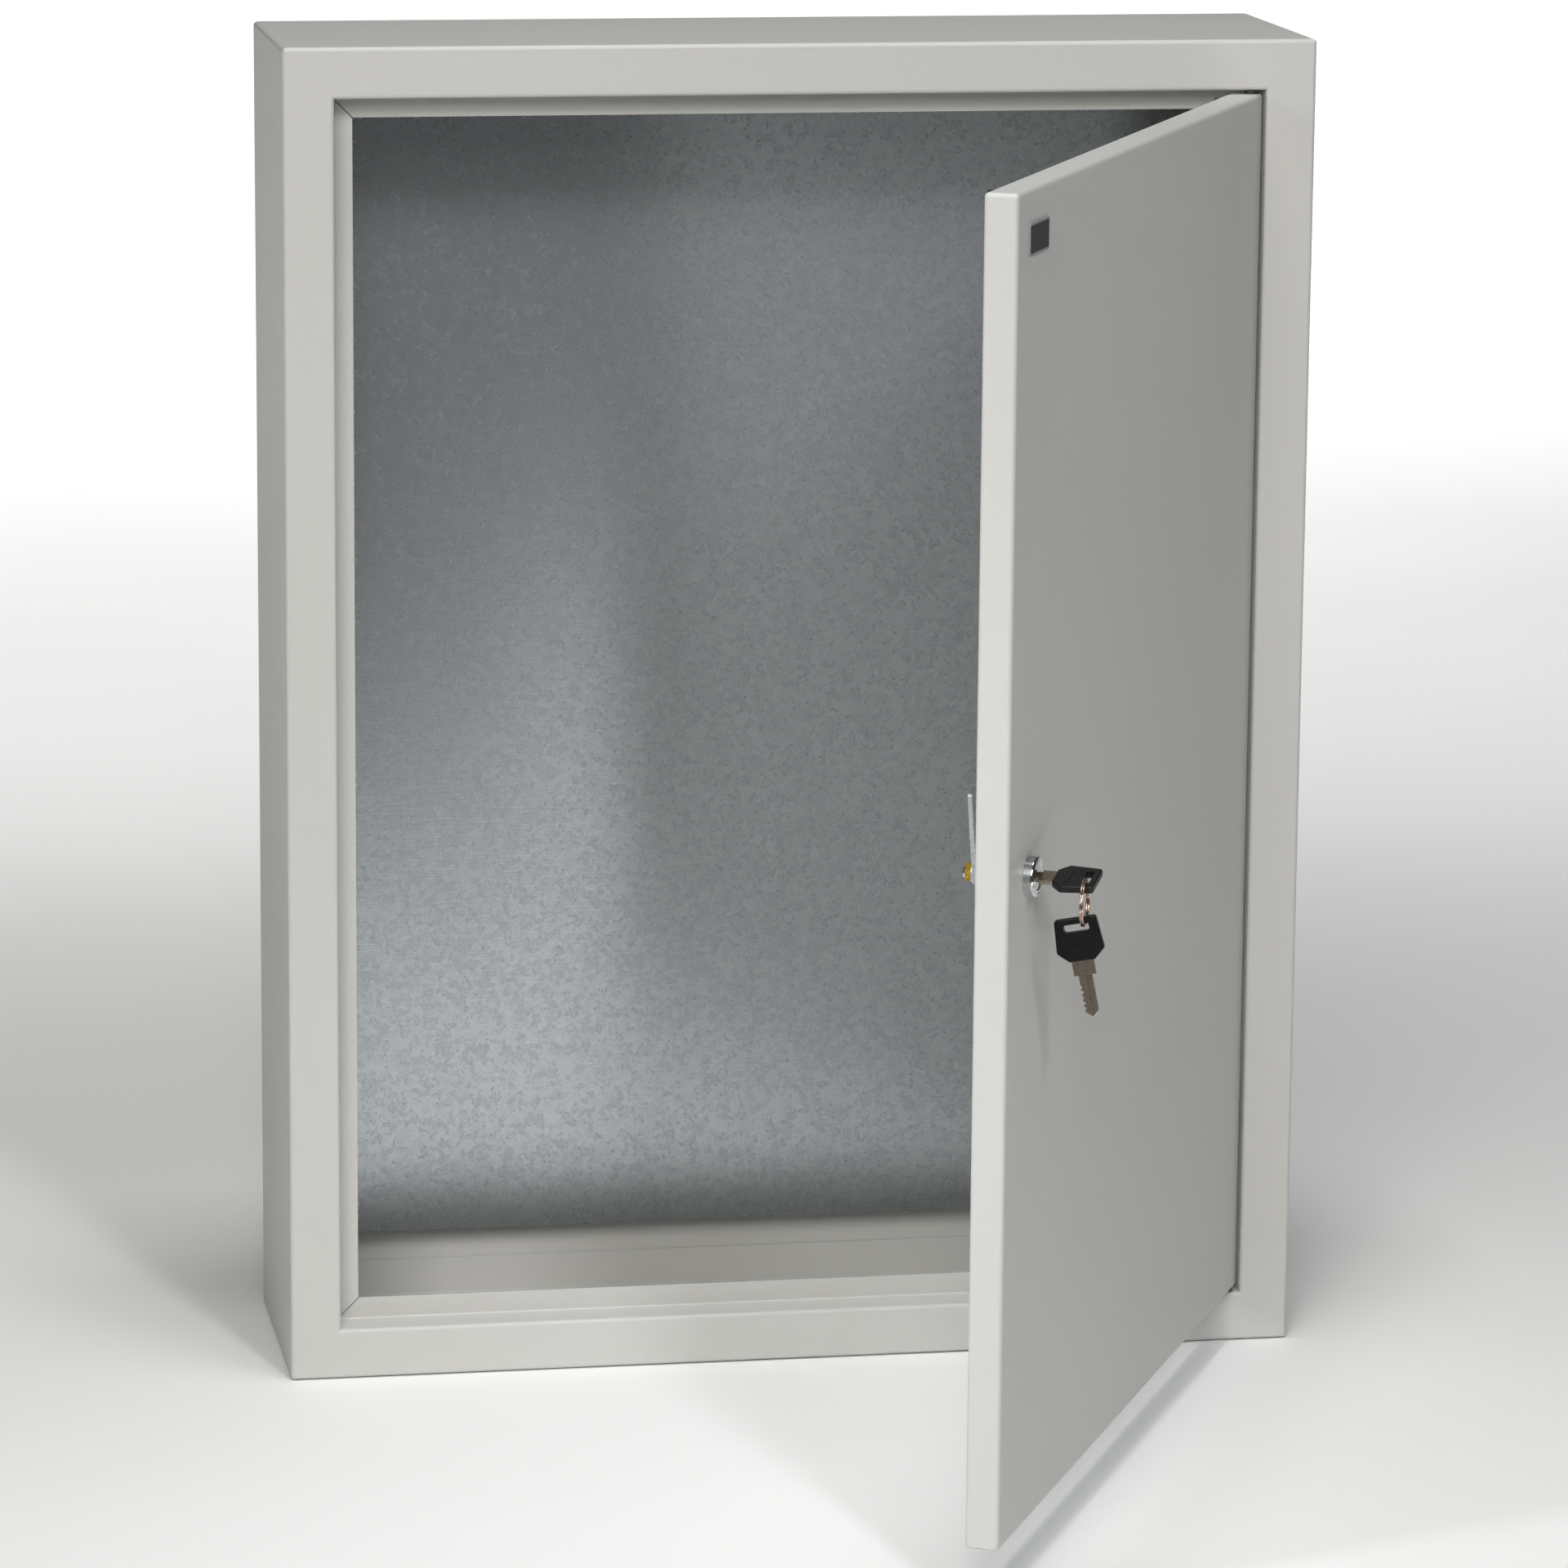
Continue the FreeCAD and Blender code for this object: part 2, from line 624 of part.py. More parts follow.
def key_blade():
    """Blade in the lock: tang, shoulder, notched edge, pointed tip and a groove each side."""
    half = BLADE_WIDTH / 2
    shoulder = SHOULDER_WIDTH / 2
    end = BLADE_START + BLADE_LENGTH
    points = [(BOW_START, -shoulder), (BLADE_START, -shoulder), (BLADE_START, -half)]
    points += [(end - TIP_LENGTH, -half), (end, 0), (end - TIP_LENGTH, half)]
    for index in reversed(range(WAFER_COUNT)):
        middle = wafer_start(index) + WAFER_SIZE[1] / 2
        depth = NOTCH_DEPTHS[index]
        points += [(middle + NOTCH_HALF, half), (middle, half - depth), (middle - NOTCH_HALF, half)]
    points += [(BLADE_START, half), (BLADE_START, shoulder), (BOW_START, shoulder)]
    corners = key_outline(points)
    face = Part.Face(Part.makePolygon(corners + corners[:1]))
    blade = thick(face, BLADE_THICK).fuse(key_tang()).removeSplitter()
    for side in (-1, 1):
        surface = LOCK.x + side * BLADE_THICK / 2
        near = min(surface, surface - side * GROOVE_DEPTH)
        groove = block(
            (near, FRONT + BLADE_START, LOCK.z + GROOVE_Z - GROOVE_WIDTH / 2),
            (near + GROOVE_DEPTH, FRONT + end, LOCK.z + GROOVE_Z + GROOVE_WIDTH / 2),
        )
        blade = blade.cut(groove)
    return blade


def key_bow():
    """Plastic bow, moulded round the tang, with a slot for the ring and a rib on each face."""
    neck = BOW_NECK_WIDTH / 2
    widest = BOW_MAX_WIDTH / 2
    end = BOW_END_WIDTH / 2
    half_profile = [(BOW_START, neck), (BOW_START - BOW_SHOULDER, widest), (BOW_END, end)]
    points = half_profile + [(depth, -height) for depth, height in reversed(half_profile)]
    radii = [BOW_NECK_R] + [BOW_CORNER_R] * 4 + [BOW_NECK_R]
    bow = thick(rounded_face(key_outline(points), radii), BOW_THICK)
    rim = [edge for edge in bow.Edges if edge.BoundBox.XLength < BOW_THICK / 2]
    bow = bow.makeFillet(BOW_ROUND, rim)
    for side in (-1, 1):
        surface = LOCK.x + side * BOW_THICK / 2
        near = min(surface, surface + side * RIB_SIZE[0])
        middle = FRONT + (SLOT_CENTRE + SLOT_WIDTH / 2 + BOW_START) / 2
        rib = block(
            (near, middle - RIB_SIZE[1] / 2, LOCK.z - RIB_SIZE[2] / 2),
            (near + RIB_SIZE[0], middle + RIB_SIZE[1] / 2, LOCK.z + RIB_SIZE[2] / 2),
        )
        bow = bow.fuse(rib)
    half_slot = SLOT_LENGTH / 2
    low = SLOT_CENTRE - SLOT_WIDTH / 2
    high = SLOT_CENTRE + SLOT_WIDTH / 2
    slot_points = [(low, -half_slot), (high, -half_slot), (high, half_slot), (low, half_slot)]
    slot = thick(rounded_face(key_outline(slot_points), [SLOT_CORNER_R] * 4), 2 * BOW_THICK)
    return bow.removeSplitter().cut(slot).cut(key_tang())


# ---------------------------------------------------------------- ring and spare key
def ring_pivot():
    """Middle of the bar at the lower end of the key's slot, with the door closed."""
    inner = SLOT_LENGTH / 2
    outer = BOW_END_WIDTH / 2
    reach = (inner + outer) / 2
    turn = math.radians(LOCK_TURN)
    y = FRONT + SLOT_CENTRE - RING_SHIFT
    return Vector(LOCK.x - reach * math.sin(turn), y, LOCK.z - reach * math.cos(turn))


def hung(shape):
    """A piece that hangs from the key: yawed about the ring's pivot and swung with the door."""
    yawed = shape.copy()
    yawed.rotate(ring_pivot(), UP, RING_YAW)
    return opened(yawed)


def key_ring():
    """Split ring, as a band of its two turns, hanging in the key's slot."""
    centre = ring_pivot() - UP * RING_DROP
    y = centre.y - RING_WIDTH / 2
    corners = [
        Vector(centre.x + RING_INNER_R, y, centre.z),
        Vector(centre.x + RING_INNER_R + RING_WIRE, y, centre.z),
        Vector(centre.x + RING_INNER_R + RING_WIRE, y + RING_WIDTH, centre.z),
        Vector(centre.x + RING_INNER_R, y + RING_WIDTH, centre.z),
    ]
    return rounded_face(corners, [RING_ROUND] * 4).revolve(centre, INWARD, 360)


def spare_pivot():
    """Middle of the spare key's end bar, where the ring passes round it."""
    return ring_pivot() - UP * (RING_DROP + SPARE_DROP)


def hung_as_spare(shape):
    """A key piece moved from the lock to hang from the ring, blade down and a little tilted."""
    grip = Vector(LOCK.x, FRONT + BOW_END + SLOT_FROM_END / 2, LOCK.z - SPARE_OFF_CENTRE)
    spare = shape.copy()
    spare.translate(spare_pivot() - grip)
    spare.rotate(spare_pivot(), Vector(1, 0, 0), -90 - SPARE_TILT)
    return hung(spare)


# ---------------------------------------------------------------- all the pieces
def all_parts():
    """Every node's name and shape."""
    blade = key_blade()
    bow = key_bow()
    return {
        "top_panel": top_panel(),
        "bottom_panel": bottom_panel(),
        "left_panel": side_wall(HALF_WIDTH, HEIGHT, 0),
        "right_panel": side_wall(HALF_WIDTH, HEIGHT, 180),
        "back_panel": back_panel(),
        "mounting_plate": mounting_plate(),
        "plate_studs": at_studs(plate_stud),
        "plate_spacers": at_studs(plate_spacer),
        "plate_washers": at_studs(plate_washer),
        "plate_nuts": at_studs(plate_nut),
        "earth_stud": earth_stud(),
        "earth_washer": earth_washer(),
        "earth_nut": earth_nut(),
        "upper_hinge_pin": hinge_pin(1),
        "lower_hinge_pin": hinge_pin(-1),
        "upper_hinge_washer": hinge_washer(1),
        "lower_hinge_washer": hinge_washer(-1),
        "door_panel": opened(door_panel()),
        "upper_hinge_block": opened(hinge_block(1)),
        "lower_hinge_block": opened(hinge_block(-1)),
        "door_buffers": opened(door_buffers()),
        "door_badge": opened(door_badge()),
        "door_earth_stud": opened(door_earth_stud()),
        "door_earth_nut": opened(door_earth_nut()),
        "lock_body": opened(lock_body()),
        "lock_nut": opened(lock_nut()),
        "lock_plug": unlocked(lock_plug()),
        "tumbler_wafers": unlocked(tumbler_wafers()),
        "cam": unlocked(cam()),
        "cam_washer": unlocked(cam_washer()),
        "cam_nut": unlocked(cam_nut()),
        "key_blade": unlocked(blade),
        "key_bow": unlocked(bow),
        "key_ring": hung(key_ring()),
        "spare_key_blade": hung_as_spare(blade),
        "spare_key_bow": hung_as_spare(bow),
    }


os.makedirs("parts", exist_ok=True)
for name, shape in all_parts().items():
    shape.exportStep("parts/" + name + ".step")
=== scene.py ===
"""Looks of a lockable steel wall cabinet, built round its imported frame.

The sheets, the plate, the door, its badge and the small hardware come from the frame and are dressed
here. Pieces that the frame keeps plain are built anew: the lock's head and threaded barrel, the split ring
and the threaded studs. Sizes are in millimetres until a mesh is written, and places come from the frame's
joints and boxes.
"""

from __future__ import annotations

import json
import logging
import math
from dataclasses import dataclass
from enum import Enum

import bmesh
import bpy
import numpy as np
from mathutils import Matrix, Vector


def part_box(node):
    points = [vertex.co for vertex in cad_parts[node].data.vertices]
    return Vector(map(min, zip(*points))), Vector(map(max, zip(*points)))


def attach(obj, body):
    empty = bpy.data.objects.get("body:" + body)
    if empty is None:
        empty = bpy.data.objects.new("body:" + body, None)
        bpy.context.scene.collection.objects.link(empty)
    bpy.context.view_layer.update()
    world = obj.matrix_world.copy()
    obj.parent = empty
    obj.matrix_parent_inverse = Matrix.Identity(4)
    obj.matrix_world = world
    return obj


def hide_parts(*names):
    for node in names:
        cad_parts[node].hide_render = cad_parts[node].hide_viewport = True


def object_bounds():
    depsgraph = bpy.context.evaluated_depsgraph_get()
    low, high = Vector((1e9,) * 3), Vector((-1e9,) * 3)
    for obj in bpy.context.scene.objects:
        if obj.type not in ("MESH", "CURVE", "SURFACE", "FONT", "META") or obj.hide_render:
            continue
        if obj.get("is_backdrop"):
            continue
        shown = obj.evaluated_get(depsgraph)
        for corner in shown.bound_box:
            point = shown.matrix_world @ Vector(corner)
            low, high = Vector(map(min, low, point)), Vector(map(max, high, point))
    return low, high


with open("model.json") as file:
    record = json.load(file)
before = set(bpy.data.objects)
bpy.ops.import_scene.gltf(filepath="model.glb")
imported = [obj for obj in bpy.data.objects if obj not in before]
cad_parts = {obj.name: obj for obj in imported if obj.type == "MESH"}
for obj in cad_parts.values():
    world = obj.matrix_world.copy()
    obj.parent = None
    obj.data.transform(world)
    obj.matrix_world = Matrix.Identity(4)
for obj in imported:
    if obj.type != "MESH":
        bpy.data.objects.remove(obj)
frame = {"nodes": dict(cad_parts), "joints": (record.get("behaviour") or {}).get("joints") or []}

LOG = logging.getLogger("cabinet")
MM = 0.001
VERTICAL = (0.0, 0.0, 1.0)
SAME_POINT = 1e-7  # metres: points nearer than this are one
MIDDLE = (0.3, 0.7)  # nearly all values of a noise lie between these
SHADES = (0.35, 0.65)  # where a noise turns from a finish's dark colour to its light one


# ------------------------------------------------------------------------------------------ meshes
@dataclass(frozen=True)
class Axes:
    """A place in the row frame with three square directions, right, along and up.

    Attributes:
        origin: The place, in metres.
        right: Unit vector of the first local coordinate.
        along: Unit vector of the second, such as the way into the lock.
        up: Unit vector of the third.
    """

    origin: np.ndarray
    right: np.ndarray
    along: np.ndarray
    up: np.ndarray

    def place(self, points: np.ndarray) -> np.ndarray:
        """Turns local points in millimetres into row-frame points in metres.

        Args:
            points: Array whose last axis is (right, along, up).

        Returns:
            An array of the same shape: the origin plus each coordinate times its direction.
        """
        basis = np.stack([self.right, self.along, self.up])
        return self.origin + (points * MM) @ basis


def unit(vector: np.ndarray | list) -> np.ndarray:
    """The vector at length one."""
    return np.asarray(vector, float) / np.linalg.norm(vector)


def turn_angles(steps: int) -> np.ndarray:
    """The angles of evenly spaced points round one turn, as a single row."""
    return np.linspace(0, 2 * np.pi, steps, endpoint=False)[None, :]


def axes_at(name: str) -> Axes:
    """Upright axes at a joint: along points the way that the joint's axis does.

    Args:
        name: The joint's name.

    Returns:
        Right-handed axes whose origin is the joint's position. Right is along crossed with the vertical.
    """
    joint = next(record for record in frame["joints"] if record["name"] == name)
    along = unit(joint["axis"])
    right = unit(np.cross(along, VERTICAL))
    return Axes(np.array(joint["pos_m"]), right, along, np.cross(right, along))


def new_piece(
    name: str, vertices: np.ndarray, faces: list[list[int]], smooth_degrees: float = 35.0
) -> bpy.types.Object:
    """Makes a mesh object at the origin, shaded smooth where its faces meet gently.

    Args:
        name: The piece's name.
        vertices: Points in metres, in the row frame.
        faces: Vertex numbers of each face, turning outwards.
        smooth_degrees: Edges sharper than this stay sharp.

    Returns:
        The new object, linked to the scene.
    """
    mesh = bpy.data.meshes.new(name)
    mesh.from_pydata(vertices.reshape(-1, 3).tolist(), [], faces)
    mesh.validate()
    mesh.shade_smooth()
    mesh.set_sharp_from_angle(angle=math.radians(smooth_degrees))
    piece = bpy.data.objects.new(name, mesh)
    bpy.context.scene.collection.objects.link(piece)
    return piece


def grid_faces(rows: int, columns: int, close_rows: bool, close_columns: bool) -> np.ndarray:
    """Quads over a grid of points numbered row by row.

    Args:
        rows: Number of rows.
        columns: Number of points in a row.
        close_rows: Whether the last row joins the first.
        close_columns: Whether the last column joins the first.

    Returns:
        One line of four vertex numbers for each quad: a point, its right neighbour, and the two above them.
    """
    row = np.arange(rows if close_rows else rows - 1)[:, None]
    column = np.arange(columns if close_columns else columns - 1)[None, :]
    next_row = (row + 1) % rows
    next_column = (column + 1) % columns
    corners = (
        row * columns + column,
        row * columns + next_column,
        next_row * columns + next_column,
        next_row * columns + column,
    )
    return np.stack([np.broadcast_to(c, (row.size, column.size)).ravel() for c in corners], axis=1)


def lathe(profile: np.ndarray, steps: int) -> np.ndarray:
    """Turns a profile round the along axis.

    Args:
        profile: Rows of (radius, depth), in millimetres.
        steps: Points round one turn.

    Returns:
        A grid of local points: radius times cosine, depth, radius times sine.
    """
    angle = turn_angles(steps)
    radius = profile[:, :1]
    depth = np.broadcast_to(profile[:, 1:], (len(profile), steps))
    return np.stack([radius * np.cos(angle), depth, radius * np.sin(angle)], axis=-1)


def thread_depth(
    depth: np.ndarray, angle: np.ndarray, pitch: float, start: float, end: float
) -> np.ndarray:
    """How deep a screw thread cuts.

    Args:
        depth: Distance along the axis, in millimetres, as a column.
        angle: Angle round it, as a row.
        pitch: Thread pitch, in millimetres.
        start: Where the thread starts along the axis.
        end: Where it ends.

    Returns:
        A grid from 0 to 1: a triangle wave of the depth in pitches less the turn, faded out over one pitch
        at both ends.
    """
    turns = depth / pitch - angle / (2 * np.pi)
    wave = np.abs(2 * (turns - np.floor(turns)) - 1)
    fade = np.clip((depth - start) / pitch, 0, 1) * np.clip((end - depth) / pitch, 0, 1)
    return wave * fade


@dataclass(frozen=True)
class ThreadedBar:
    """A turned bar with a screw thread and chamfered ends.

    Attributes:
        radius: Outer radius, in millimetres.
        length: Length, in millimetres.
        pitch: Thread pitch, in millimetres.
        chamfer_share: The end chamfers' size, as a share of the radius.
        thread_share: The thread's depth, as a share of its pitch.
        rows_a_pitch: Rows of points in one pitch.
        steps: Points round one turn.
    """

    radius: float
    length: float
    pitch: float
    chamfer_share: float = 0.15
    thread_share: float = 0.61
    rows_a_pitch: int = 8
    steps: int = 28

    def local(self) -> np.ndarray:
        """Works out one bar's surface.

        Returns:
            A grid of local points: a turned profile whose radius is less by the thread's depth.
        """
        chamfer = self.chamfer_share * self.radius
        start, end = chamfer, self.length - chamfer
        depth = np.arange(start, end, self.pitch / self.rows_a_pitch)
        body = np.stack([np.full_like(depth, self.radius), depth], axis=1)
        near = [[0.0, 0.0], [self.radius - chamfer, 0.0]]
        far = [[self.radius - chamfer, self.length], [0.0, self.length]]
        profile = np.concatenate([near, body, far])
        points = lathe(profile, self.steps)
        cut = thread_depth(profile[:, 1:], turn_angles(self.steps), self.pitch, start, end)
        points[..., [0, 2]] *= (1 - self.thread_share * self.pitch * cut / self.radius)[..., None]
        return points

    def piece(self, name: str, places: list[Axes]) -> bpy.types.Object:
        """Makes such a bar at each place, all in one piece.

        Args:
            name: The piece's name.
            places: The Axes of each bar; it lies on their along direction.

        Returns:
            The piece.
        """
        local = self.local()
        rows, columns = local.shape[:2]
        quads = grid_faces(rows, columns, False, True)[:, ::-1]
        vertices = np.concatenate([axes.place(local).reshape(-1, 3) for axes in places])
        faces = np.concatenate([quads + number * rows * columns for number in range(len(places))])
        piece = new_piece(name, vertices, faces.tolist())
        merge_poles(piece)
        return piece


def merge_poles(piece: bpy.types.Object) -> None:
    """Joins points that lie on each other, such as a turned shape's poles, and turns the faces outwards.

    Args:
        piece: The piece, whose mesh is changed.
    """
    work = bmesh.new()
    work.from_mesh(piece.data)
    bmesh.ops.remove_doubles(work, verts=work.verts, dist=SAME_POINT)
    bmesh.ops.recalc_face_normals(work, faces=work.faces)
    work.to_mesh(piece.data)
    work.free()


def finished(
    piece: bpy.types.Object, material: bpy.types.Material, body: str, slot: str, *nodes: str
) -> None:
    """Gives a built piece its material, its body and the nodes that it stands for.

    Args:
        piece: The new piece.
        material: Its finish.
        body: The body that it rides on.
        slot: The record's slot for its finish; not used.
        *nodes: The frame's nodes that it replaces.
    """
    piece.data.materials.clear()
    piece.data.materials.append(material)
    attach(piece, body)
    if nodes:
        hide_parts(*nodes)
    stands_for = ", ".join(nodes) or body
    LOG.info("%s built for %s: %d faces", piece.name, stands_for, len(piece.data.polygons))


def dress(material: bpy.types.Material, *nodes: str) -> None:
    """Gives nodes of the frame a material.

    Args:
        material: The finish.
        *nodes: Names of the nodes.
    """
    for name in nodes:
        node = frame["nodes"][name]
        node.data.materials.clear()
        node.data.materials.append(material)
        LOG.info("%s dressed in %s", name, material.name)


# ------------------------------------------------------------------------------------------ materials
def linear(hex_colour: str) -> tuple[float, float, float, float]:
    """Turns an sRGB colour to linear light: below 0.04045 divided by 12.92, above it a 2.4 power.

    Args:
        hex_colour: The colour, such as "#C6C5C2".

    Returns:
        Red, green, blue and an alpha of one.
    """
    channels = [int(hex_colour[i : i + 2], 16) / 255 for i in (1, 3, 5)]
    values = [c / 12.92 if c <= 0.04045 else ((c + 0.055) / 1.055) ** 2.4 for c in channels]
    return (*values, 1.0)


def per_metre(size_mm: float) -> float:
    """A texture scale on coordinates in metres, for a pattern of this size."""
    return 1000.0 / size_mm


def add(
    tree: bpy.types.NodeTree,
    kind: str,
    inputs: dict[str | int, object] | None = None,
    stops: tuple[tuple[float, str], ...] = (),
    **settings: object,
) -> bpy.types.Node:
    """Adds one shader node.

    Args:
        tree: The material's or world's node tree.
        kind: The node type.
        inputs: Socket name or number to a value, or to another node's output, which is linked.
        stops: For a colour ramp, pairs of a position from 0 to 1 and a hex colour.
        **settings: Properties of the node.

    Returns:
        The new node.
    """
    node = tree.nodes.new(kind)
    for name, value in settings.items():
        setattr(node, name, value)
    for name, value in (inputs or {}).items():
        socket = node.inputs[name]
        if isinstance(value, bpy.types.NodeSocket):
            tree.links.new(value, socket)
        else:
            socket.default_value = value
    for number, (position, colour) in enumerate(stops):
        elements = node.color_ramp.elements
        element = elements[number] if number < len(elements) else elements.new(position)
        element.position = position
        element.color = linear(colour)
    return node


def middle_to(value: bpy.types.NodeSocket, low: float, high: float) -> dict[str, object]:
    """Inputs that map the middle part of a pattern onto a range.

    Args:
        value: The pattern.
        low: The result at the middle's low end and below.
        high: The result at its high end and above.

    Returns:
        The input values of a range-mapping node.
    """
    return {"Value": value, "From Min": MIDDLE[0], "From Max": MIDDLE[1], "To Min": low, "To Max": high}


def start_material(name: str) -> tuple[bpy.types.Material, bpy.types.NodeTree, bpy.types.NodeSocket]:
    """A new material with nothing in it.

    Args:
        name: The material's name.

    Returns:
        The material, its node tree, and the object coordinates.
    """
    material = bpy.data.materials.new(name)
    material.use_nodes = True
    tree = material.node_tree
    tree.nodes.clear()
    return material, tree, add(tree, "ShaderNodeTexCoord").outputs["Object"]


@dataclass(frozen=True)
class PowderCoat:
    """Polyester powder coat on steel sheet, sprayed dry and baked.

    It gives an even, slightly warm light grey with a low satin sheen and a fine orange peel.

    Attributes:
        name: The material's name.
        light: Colour where the coat is a little thicker.
        dark: Colour where it is thinner.
        peel_mm: Width of one orange-peel bump, drawn twice as coarse as it is so that it shows.
        cloud_mm: Width of the slow colour change.
        hollow: Roughness in the peel's hollows.
        top: Roughness on its tops.
        relief: Strength of the peel as bumps.
        relief_mm: Height of one bump.
    """

    name: str = "polyester_powder_coat"
    light: str = "#C6C5C2"
    dark: str = "#C4C3BF"
    peel_mm: float = 1.6
    cloud_mm: float = 180.0
    hollow: float = 0.42
    top: float = 0.52
    relief: float = 0.25
    relief_mm: float = 0.4

    def build(self) -> bpy.types.Material:
        """Builds the finish from its nodes.

        Returns:
            The material.
        """
        material, tree, place = start_material(self.name)
        cloud = add(tree, "ShaderNodeTexNoise",
                    {"Vector": place, "Scale": per_metre(self.cloud_mm), "Detail": 4.0})
        peel = add(tree, "ShaderNodeTexNoise",
                   {"Vector": place, "Scale": per_metre(self.peel_mm), "Detail": 2.0})
        colour = add(tree, "ShaderNodeValToRGB", {"Fac": cloud.outputs["Fac"]},
                     stops=((SHADES[0], self.dark), (SHADES[1], self.light)))
        gloss = add(tree, "ShaderNodeMapRange", middle_to(peel.outputs["Fac"], self.hollow, self.top))
        bump = add(tree, "ShaderNodeBump", {
            "Height": peel.outputs["Fac"],
            "Strength": self.relief,
            "Distance": self.relief_mm * MM,
        })
        surface = add(tree, "ShaderNodeBsdfPrincipled", {
            "Base Color": colour.outputs["Color"],
            "Roughness": gloss.outputs["Result"],
            "Normal": bump.outputs["Normal"],
        })
        add(tree, "ShaderNodeOutputMaterial", {"Surface": surface.outputs["BSDF"]})
        return material


@dataclass(frozen=True)
class GalvanisedSheet:
    """Hot-dip galvanised steel sheet, temper rolled.

    The zinc froze in small grains, each with its own sheen, and the rolls left fine scratches across the
    sheet, which draw every reflection out upwards and downwards.

    Attributes:
        name: The material's name.
        light: Colour of the brightest grains.
        dark: Colour of the dullest.
        dark_at: Pattern value at which a grain is dullest.
        light_at: Pattern value at which it is brightest.
        dull: Roughness of the dullest grains.
        gloss: Roughness of the brightest.
        grain_mm: Width of one grain.
        ragged: Width of the waves in the grains' edges, in grains.
        stray: How far the edges stray, in grains.
        fleck_mm: Width of the small flecks inside a grain.
        scratch_mm: Spacing of the roll scratches, drawn coarser than the real hundredths so that it shows.
        stretch: How many times longer than that a scratch is.
        fleck_share: How much a grain's own shade counts beside its flecks.
        scratch_share: How much the scratches count in the relief.
        relief: Strength of the relief.
        relief_mm: Its height.
        drawn_out: How far reflections are drawn out.
        drawn_turn: The direction that they are drawn in, as a share of a turn.
    """

    name: str = "galvanised_steel"
    light: str = "#C2C6C8"
    dark: str = "#AEB3B6"
    dark_at: float = 0.40
    light_at: float = 0.95
    dull: float = 0.30
    gloss: float = 0.25
    grain_mm: float = 3.2
    ragged: float = 2.0
    stray: float = 3.0
    fleck_mm: float = 1.3
    scratch_mm: float = 0.6
    stretch: float = 30.0
    fleck_share: float = 0.45
    scratch_share: float = 3.0
    relief: float = 0.08
    relief_mm: float = 0.08
    drawn_out: float = 0.6
    drawn_turn: float = 0.25

    def build(self) -> bpy.types.Material:
        """Builds the finish from its nodes.

        Returns:
            The material.
        """
        material, tree, place = start_material(self.name)
        # Grains with ragged edges: cells on coordinates pushed about by a wider noise.
        warp = add(tree, "ShaderNodeTexNoise",
                   {"Vector": place, "Scale": per_metre(self.ragged * self.grain_mm), "Detail": 3.0})
        push = self.stray * self.grain_mm * MM
        offset = add(tree, "ShaderNodeVectorMath",
                     {0: warp.outputs["Color"], "Scale": push}, operation="SCALE")
        bent = add(tree, "ShaderNodeVectorMath",
                   {0: place, 1: offset.outputs["Vector"]}, operation="ADD")
        grains = add(tree, "ShaderNodeTexVoronoi",
                     {"Vector": bent.outputs["Vector"], "Scale": per_metre(self.grain_mm)})
        shade = add(tree, "ShaderNodeSeparateColor", {"Color": grains.outputs["Color"]})
        flecks = add(tree, "ShaderNodeTexNoise",
                     {"Vector": place, "Scale": per_metre(self.fleck_mm), "Detail": 2.0})
        mixed = add(tree, "ShaderNodeMath",
                    {0: shade.outputs["Red"], 1: self.fleck_share, 2: flecks.outputs["Fac"]},
                    operation="MULTIPLY_ADD").outputs["Value"]
        colour = add(tree, "ShaderNodeValToRGB", {"Fac": mixed},
                     stops=((self.dark_at, self.dark), (self.light_at, self.light)))
        gloss = add(tree, "ShaderNodeMapRange", middle_to(mixed, self.dull, self.gloss))
        # Roll scratches: a fine noise drawn out across the sheet.
        stretched = add(tree, "ShaderNodeMapping",
                        {"Vector": place, "Scale": (1 / self.stretch, 1.0, 1.0)})
        scratches = add(tree, "ShaderNodeTexNoise",
                        {"Vector": stretched.outputs["Vector"], "Scale": per_metre(self.scratch_mm),
                         "Detail": 2.0})
        height = add(tree, "ShaderNodeMath",
                     {0: scratches.outputs["Fac"], 1: self.scratch_share, 2: mixed},
                     operation="MULTIPLY_ADD")
        bump = add(tree, "ShaderNodeBump", {
            "Height": height.outputs["Value"],
            "Strength": self.relief,
            "Distance": self.relief_mm * MM,
        })
        surface = add(tree, "ShaderNodeBsdfPrincipled", {
            "Base Color": colour.outputs["Color"],
            "Metallic": 1.0,
            "Anisotropic": self.drawn_out,
            "Anisotropic Rotation": self.drawn_turn,
            "Roughness": gloss.outputs["Result"],
            "Normal": bump.outputs["Normal"],
        })
        add(tree, "ShaderNodeOutputMaterial", {"Surface": surface.outputs["BSDF"]})
        return material


